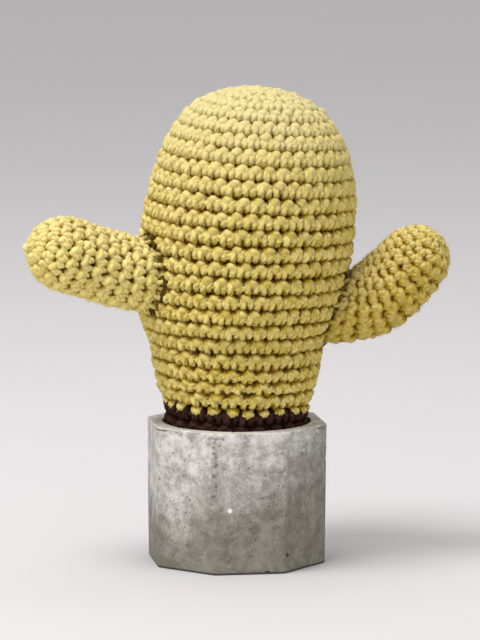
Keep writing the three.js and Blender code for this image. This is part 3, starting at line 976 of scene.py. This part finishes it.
class YarnSettings(bpy.types.PropertyGroup):
    thickness: bpy.props.FloatProperty(
        name="Yarn thickness", description="Diameter of the yarn in the stitches",
        default=2.7 * MM, min=MM, max=5 * MM, precision=4, subtype="DISTANCE", unit="LENGTH")
    pale: bpy.props.FloatVectorProperty(
        name="Green yarn, light", description="Colour of the lightest fibres",
        default=(0.90, 0.78, 0.28), min=0, max=1, subtype="COLOR")
    deep: bpy.props.FloatVectorProperty(
        name="Green yarn, dark", description="Colour of the darkest fibres",
        default=(0.52, 0.39, 0.05), min=0, max=1, subtype="COLOR")
    # colour of the painted top light on the sides that face up
    painted_top_colour: bpy.props.FloatVectorProperty(
        name="Green yarn, faded", description="Colour of the sides that face up, bleached by the light",
        default=(0.61, 0.54, 0.29), min=0, max=1, subtype="COLOR")
    warm: bpy.props.FloatVectorProperty(
        name="Green yarn, warm", description="Colour where the dye is a little pinker",
        default=(0.78, 0.60, 0.25), min=0, max=1, subtype="COLOR")
    soil_pale: bpy.props.FloatVectorProperty(
        name="Brown yarn, light", description="Colour of the lightest fibres of the soil",
        default=(0.075, 0.034, 0.026), min=0, max=1, subtype="COLOR")
    soil_deep: bpy.props.FloatVectorProperty(
        name="Brown yarn, dark", description="Colour of the darkest fibres of the soil",
        default=(0.028, 0.012, 0.009), min=0, max=1, subtype="COLOR")
    fuzz: bpy.props.IntProperty(
        name="Fuzz", description="Loose fibres on the body; each arm has half as many",
        default=13500, min=0, max=40000)


class PotSettings(bpy.types.PropertyGroup):
    pits: bpy.props.IntProperty(
        name="Bug holes", description="Small open air bubbles in the concrete",
        default=230, min=0, max=800)
    wear: bpy.props.FloatProperty(
        name="Unevenness", description="How far the cast faces wander from flat",
        default=0.12 * MM, min=0, max=MM, precision=5, subtype="DISTANCE", unit="LENGTH")


class StageSettings(bpy.types.PropertyGroup):
    floor: bpy.props.FloatVectorProperty(
        name="Floor", description="Colour of the floor", default=(0.575, 0.56, 0.585),
        min=0, max=1, subtype="COLOR")
    key: bpy.props.FloatProperty(
        name="Key light", description="Power of the large light at the upper left",
        default=28, min=0, subtype="POWER", unit="POWER")
    top: bpy.props.FloatProperty(
        name="Top light", description="Power of the large light above the crown",
        default=3, min=0, subtype="POWER", unit="POWER")
    front: bpy.props.FloatProperty(
        name="Front light", description="Power of the weak light low in front",
        default=3.5, min=0, subtype="POWER", unit="POWER")
    fill: bpy.props.FloatProperty(
        name="Sky", description="Strength of the even light from all round", default=0.76, min=0)


def finish(name, make, *values):
    """The finish of this name, made when it is first asked for."""
    return bpy.data.materials.get(name) or make(name, *values)


def green_yarn(settings):
    dyes = [(*dye, 1) for dye in (settings.pale, settings.deep, settings.warm, settings.painted_top_colour)]
    return finish("green_yarn_strands", yarn_finish, *dyes, *GREEN_SHADES, GREEN_SHEEN)


def brown_yarn(settings):
    dyes = [(*settings.soil_pale, 1), (*settings.soil_deep, 1), BROWN_WARM, BROWN_TOP_LIT]
    return finish("brown_yarn_strands", yarn_finish, *dyes, *BROWN_SHADES, 0.0)


def add_backing(fabric, name, end, sides, replaced):
    """Closed shell of the inner loops, with a pit in the hole between each two stitches."""
    middle = np.arange(BACKING_START, end - BACKING_SPARE, BACKING_STEP)
    distances = np.concatenate([[TIP_START], middle, [end]])
    face = fabric_rings(fabric, distances, -BACKING, sides)
    holes, _ = fabric.place(fabric.holes, np.array([[(0.0, 0.0, -BACKING / MM)]]))
    squared = ((face[:, :, None] - holes[:, 0]) ** 2).sum(-1).min(-1)
    pit = np.exp(-squared / PIT_RADIUS**2)
    outer = fabric_rings(fabric, distances, -BACKING - PIT * pit, sides)
    inner = fabric_rings(fabric, np.append(distances[::BACKING_FEW], end), -FABRIC - PIT / 2, sides)
    rings = np.concatenate([inner, outer[::-1]])
    # painted shadow on the inner loops: full on their inside, and in the pits and at the seams of the arms
    dark = np.concatenate([np.ones(inner.shape[:2]), np.maximum(pit, fabric.gloom(face))[::-1]])
    part = {"rings": rings[None], "along": np.zeros((1, len(rings))), "values": {"pit": dark[None]}}
    material = finish("green_yarn_inside", shaded_inside_finish, *GREEN_INSIDE_SHADED, True)
    return add_tubes(name, [part], material, GREEN, replaced)


def fill_rings(fabric, end, sides, random):
    """Rings of a lumpy filling, from the open end to the tip."""
    middle = np.linspace(FILL_START, end, int(end / FILL_STEP))
    rings = fabric_rings(fabric, np.append(TIP_START, middle), -FABRIC - FILL_GAP, sides)
    lumps = random.uniform(-1, 1, rings.shape[:2])
    for _ in range(FILL_SMOOTHING):
        lumps = (lumps + np.roll(lumps, 1, 1) + np.roll(lumps, -1, 1)) / 3
    inward = unit(rings.mean(axis=1, keepdims=True) - rings)
    return (rings + inward * np.abs(lumps)[..., None] * FILL_LUMP)[::-1]


def add_fuzz(name, parts, count, material, replaced, random):
    """Loose fibres that stand out of the yarn, each a thin closed spike."""
    rings = np.concatenate([part["rings"] for part in parts])
    values = {
        key: np.concatenate([
            np.broadcast_to(part["values"][key], part["rings"].shape[:3]) for part in parts
        ])
        for key in parts[0]["values"]
    }
    values["tint"] = values["tint"] + FIBRE_TINT
    high = np.argwhere(values["depth"] > FIBRE_LOW)
    strand, ring, spot = high[random.integers(0, len(high), count)].T
    root = rings[strand, ring, spot]
    out = unit(root - rings[strand, ring].mean(axis=1))
    along = unit(out + random.normal(0, FIBRE_LEAN, (count, 3)))
    beside = unit(along + random.normal(0, FIBRE_SPIN, (count, 3)))
    length = random.gamma(FIBRE_SHAPE, FIBRE_SCALE, count)[:, None] + FIBRE_LEAST
    side = unit(np.cross(along, beside))
    up = np.cross(side, along)
    spin = TURN * np.arange(3)[None, :, None] / 3
    cross = np.cos(spin) * side[:, None] + np.sin(spin) * up[:, None]
    foot = (root - out * FIBRE_ROOT)[:, None] + FIBRE / 2 * cross
    tip = (root + along * length)[:, None]
    hairs = np.concatenate([foot, tip], axis=1).reshape(-1, 3)
    spike = np.array([[0, 2, 1], [0, 1, 3], [1, 2, 3], [2, 0, 3]])
    triangles = (np.arange(count)[:, None, None] * 4 + spike).reshape(-1, 3)
    uv = np.zeros((triangles.size, 2))
    attributes = {key: np.repeat(one[strand, ring, spot], 4) for key, one in values.items()}
    none = np.zeros((0, 4), int)
    return add_mesh(name, hairs, none, triangles, material, GREEN, replaced, uv, attributes)


class CACTUS_OT_crochet_body(bpy.types.Operator):
    """Crochet the body from the crown down, with its inner loops and its fuzz"""

    bl_idname = "cactus.crochet_body"
    bl_label = "Crochet body"

    def execute(self, context):
        settings = context.scene.cactus_yarn
        random = np.random.default_rng(BODY_SEED)
        body = Body()
        body.seams = np.concatenate([Arm(arm, body).seams for arm in ARMS.values()])
        material = green_yarn(settings)
        node = ["body_crochet"]
        laid = []
        for part, first, last in BODY_PARTS:
            laid += crochet(body, "body_stitches_" + part, first, last, STITCH, material, GREEN, node,
                            settings.thickness, random)
        end = body.distance(len(BODY_STITCHES) - 0.5)
        add_backing(body, "body_inner_loops", end, BODY_SIDES, node)
        add_fuzz("body_fuzz", laid, settings.fuzz, material, node, random)
        return {"FINISHED"}


class CACTUS_OT_crochet_soil(bpy.types.Operator):
    """Go on from the body in brown yarn, down into the bore, and close the cup"""

    bl_idname = "cactus.crochet_soil"
    bl_label = "Crochet soil"

    def execute(self, context):
        settings = context.scene.cactus_yarn
        random = np.random.default_rng(SOIL_SEED)
        body = Body()
        rounds = len(BODY_STITCHES)
        node = ["soil_crochet"]
        crochet(body, "soil_stitches", rounds, rounds + len(SOIL_STITCHES), STITCH, brown_yarn(settings),
                BROWN, node, settings.thickness, random)
        inside = finish("brown_yarn_inside", shaded_inside_finish, *BROWN_INSIDE_SHADED, False)
        add_skin("soil_inner_loops", self.cup_rings(body), inside, BROWN, node)
        return {"FINISHED"}

    def cup_rings(self, body):
        """Rings of the cup, from the middle of its inside to the middle of its underside."""
        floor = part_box("soil_crochet")[0].z
        side = SOIL_SIDE[-1][1] * MM
        top = body.outline.at(body.distance(len(BODY_STITCHES) - 1))[0]
        outer = [
            (z, side - (CUP_BEHIND if z > CUP_WORKED else CUP_INSET)) for z in np.linspace(top, CUP_BEND, 26)
        ]
        outer += [
            (floor + SOIL_CORNER * (1 - math.sin(a)), side - SOIL_CORNER * (1 - math.cos(a)))
            for a in np.linspace(0, math.pi / 2, 7)
        ]
        outer += [(floor, r) for r in np.linspace(side - SOIL_CORNER, MIDDLE, 12)[1:]]
        inner = [(z + (CUP_BOTTOM if z < CUP_RAISED else 0), min(r, side - CUP_WALL)) for z, r in outer]
        angle = np.linspace(0, TURN, SOIL_SIDES, endpoint=False)
        ripple = CUP_RIPPLE * np.cos(SOIL_STITCHES[-1] * angle)
        rings = []
        for profile, share in ((inner[::-1], 0), (outer, 1)):
            for z, r in profile:
                radius = r + share * ripple * (r > CUP_PLAIN) * (z < CUP_WORKED)
                rings.append(ring(radius, angle, z))
        return np.array(rings)[:, ::-1]


class CACTUS_OT_crochet_arms(bpy.types.Operator):
    """Crochet both arms from their tips and sew them to the body"""

    bl_idname = "cactus.crochet_arms"
    bl_label = "Crochet arms"

    def execute(self, context):
        settings = context.scene.cactus_yarn
        body = Body()
        material = green_yarn(settings)
        for side, arm in ARMS.items():
            random = np.random.default_rng(arm["seed"])
            fabric = Arm(arm, body)
            name = f"arm_{side}_"
            node = [name + "crochet"]
            last = fabric.between(fabric.rounds, fabric.rounds + 1)
            sewing = settings.thickness * SEWING_YARN
            extra = [lay_yarn(fabric, last, WHIP_STITCH, sewing, random, SEWING_LOOSE, SEWING_LIT, relief=1)]
            if arm["knot"]:
                tip = fabric.holes[:, :1]
                extra.append(lay_yarn(fabric, tip, TIP_KNOT, settings.thickness, random, relief=1))
            laid = crochet(fabric, name + "stitches", 0, fabric.rounds, STITCH, material, GREEN, node,
                           settings.thickness, random, extra)
            add_backing(fabric, name + "inner_loops", fabric.seam + 2 * MM, ARM_SIDES, node)
            add_fuzz(name + "fuzz", laid, settings.fuzz // 2, material, node, random)
        return {"FINISHED"}


class CACTUS_OT_stuff(bpy.types.Operator):
    """Stuff the body, the cup and the arms with fibrefill"""

    bl_idname = "cactus.stuff"
    bl_label = "Stuff"

    def execute(self, context):
        random = np.random.default_rng(FILL_SEED)
        material = fibrefill_finish()
        body = Body()
        rings = {"body": self.body_rings(body, random)}
        for side, arm in ARMS.items():
            fabric = Arm(arm, body)
            rings["arm_" + side] = fill_rings(fabric, fabric.seam - MM, FILL_ARM_SIDES, random)
        for name, filling in rings.items():
            piece = add_skin(name + "_fibrefill", filling, material, STUFFING, [name + "_stuffing"])
        return {"FINISHED"}

    def body_rings(self, body, random):
        rings = fill_rings(body, body.outline.length - FILL_SPARE, FILL_BODY_SIDES, random)
        bottom = rings[0].copy()
        bottom[:, :2] *= FILL_TAPER
        bottom[:, 2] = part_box("body_stuffing")[0].z + MM
        return np.concatenate([bottom[None], rings])


class CACTUS_OT_cast_pot(bpy.types.Operator):
    """Cast the octagonal pot with its bore, its worn edges and its bug holes"""

    bl_idname = "cactus.cast_pot"
    bl_label = "Cast pot"

    def execute(self, context):
        settings = context.scene.cactus_pot
        random = np.random.default_rng(POT_SEED)
        piece = add_skin("pot_cast", self.rings(), concrete_finish(), CONCRETE, ["pot"])
        mesh = piece.data
        vertices = np.zeros(len(mesh.vertices) * 3)
        normals = np.zeros(len(mesh.vertices) * 3)
        mesh.vertices.foreach_get("co", vertices)
        mesh.vertex_normals.foreach_get("vector", normals)
        vertices = vertices.reshape(-1, 3)
        normals = normals.reshape(-1, 3)
        wander = sum(
            np.sin(vertices @ random.normal(0, rate, 3) + random.uniform(0, TURN)) for rate in POT_WANDER)
        inward = settings.wear * (wander / len(POT_WANDER) - WANDER_SINK)
        vertices = vertices + normals * inward[:, None]
        spots = random.integers(0, len(vertices), settings.pits)
        radii = random.uniform(*BUG_RADII, settings.pits) * MM
        depths = radii * random.uniform(*BUG_DEPTHS, settings.pits)
        mesh.vertices.foreach_set("co", dent(vertices, normals, vertices[spots], radii, depths).ravel())
        mesh.update()
        return {"FINISHED"}

    def rings(self):
        """Rings of the pot, from the middle of its underside over the rim to the middle of the floor.

        Each row holds a share, from 0 on the outside to 1 in the bore, how far the ring is set in
        from there, and its height.
        """
        angle = np.linspace(0, TURN, POT_SIDES, endpoint=False)
        rim = POT_HEIGHT - POT_BEVEL
        quarter = [(1 - math.sin(a), 1 - math.cos(a)) for a in np.linspace(0, math.pi / 2, 4)]
        rows = [(0, inset, 0) for inset in FOOT_RINGS]
        rows += [(0, POT_BEVEL * inward, POT_BEVEL * up) for inward, up in quarter]
        rows += [(0, 0, z) for z in np.linspace(POT_BEVEL, rim, 84)[1:-1]]
        rows += [(0, POT_BEVEL * inward, POT_HEIGHT - POT_BEVEL * down) for down, inward in quarter]
        rows += [(share, POT_BEVEL, POT_HEIGHT) for share in np.linspace(0, 1, 10)[1:-1]]
        rows += [(1, -BORE_LIP * inward, POT_HEIGHT - POT_BEVEL * down) for inward, down in quarter]
        rows += [(1, 0, z) for z in np.linspace(rim, BORE_FLOOR, 30)[1:]]
        rows += [(1, inset, BORE_FLOOR) for inset in FLOOR_RINGS]
        rings = []
        for share, inset, z in rows:
            rise = z / POT_HEIGHT
            corner = POT_CORNER_FOOT + (POT_CORNER_TOP - POT_CORNER_FOOT) * rise
            outside = octagon(angle, corner) - inset
            bore = BORE_FOOT + (BORE_TOP - BORE_FOOT) * rise - (inset if share == 1 else -BORE_LIP)
            radius = np.maximum((1 - share) * outside + share * bore, MIDDLE)
            rings.append(ring(radius, angle, z))
        return np.array(rings)


class CACTUS_OT_set_stage(bpy.types.Operator):
    """Set the camera, the floor and the lights"""

    bl_idname = "cactus.set_stage"
    bl_label = "Set stage"

    def execute(self, context):
        settings = context.scene.cactus_stage
        self.camera(context.scene)
        self.floor(settings)
        self.lights(context.scene, settings)
        return {"FINISHED"}

    def camera(self, scene):
        data = bpy.data.cameras.new("camera")
        data.lens = CAMERA_LENS
        data.sensor_width = CAMERA_SENSOR
        camera = bpy.data.objects.new("camera", data)
        scene.collection.objects.link(camera)
        back = np.array([0, -math.cos(CAMERA_ELEVATION), math.sin(CAMERA_ELEVATION)])
        place = np.array(CAMERA_TARGET) * MM + CAMERA_DISTANCE * back
        down = Matrix.Rotation(math.pi / 2 - CAMERA_ELEVATION, 4, "X")
        turned = down @ Matrix.Rotation(CAMERA_ROLL, 4, "Z")
        camera.matrix_world = Matrix.Translation(place) @ turned
        scene.camera = camera

    def floor(self, settings):
        half = FLOOR_HALF
        corners = np.array([(-half, -half, 0), (half, -half, 0), (half, half, 0), (-half, half, 0)])
        none = np.zeros((0, 3), int)
        square = np.array([[0, 1, 2, 3]])
        add_mesh("floor", corners, square, none, floor_finish(settings.floor), None, [])

    def lights(self, scene, settings):
        world = bpy.data.worlds.new("studio")
        world.use_nodes = True
        background = next(node for node in world.node_tree.nodes if node.type == "BACKGROUND")
        background.inputs["Color"].default_value = SKY
        background.inputs["Strength"].default_value = settings.fill
        scene.world = world
        for name, (place, color) in LAMPS.items():
            self.lamp(scene, name, place, getattr(settings, name), color)
        scene.view_settings.view_transform = "Standard"

    def lamp(self, scene, name, place, energy, color):
        data = bpy.data.lights.new(name, "AREA")
        data.shape = "DISK"
        data.size = LAMP_SIZE
        data.energy = energy
        data.color = color
        light = bpy.data.objects.new(name, data)
        scene.collection.objects.link(light)
        turn = (Vector(LAMP_AIM) - Vector(place)).to_track_quat("-Z", "Y")
        light.matrix_world = Matrix.Translation(place) @ turn.to_matrix().to_4x4()


class CACTUS_PT_workshop(bpy.types.Panel):
    """Pieces of the cactus, in the order in which they are made"""

    bl_label = "Crocheted cactus"
    bl_space_type = "VIEW_3D"
    bl_region_type = "UI"
    bl_category = "Cactus"

    def draw(self, context):
        for name in SETTINGS:
            settings = getattr(context.scene, name)
            box = self.layout.box()
            for key in settings.__annotations__:
                box.prop(settings, key)
        for operator in OPERATORS:
            self.layout.operator(operator.bl_idname)


OPERATORS = (
    CACTUS_OT_set_stage, CACTUS_OT_cast_pot, CACTUS_OT_crochet_soil, CACTUS_OT_crochet_body,
    CACTUS_OT_crochet_arms, CACTUS_OT_stuff,
)
SETTINGS = {"cactus_yarn": YarnSettings, "cactus_pot": PotSettings, "cactus_stage": StageSettings}


def register():
    for one in (*SETTINGS.values(), *OPERATORS, CACTUS_PT_workshop):
        bpy.utils.register_class(one)
    for name, group in SETTINGS.items():
        setattr(bpy.types.Scene, name, bpy.props.PointerProperty(type=group))


def unregister():
    for name in SETTINGS:
        delattr(bpy.types.Scene, name)
    for one in (CACTUS_PT_workshop, *OPERATORS, *SETTINGS.values()):
        bpy.utils.unregister_class(one)


def main():
    register()
    for operator in OPERATORS:
        space, name = operator.bl_idname.split(".")
        getattr(getattr(bpy.ops, space), name)()


if __name__ == "__main__":
    main()
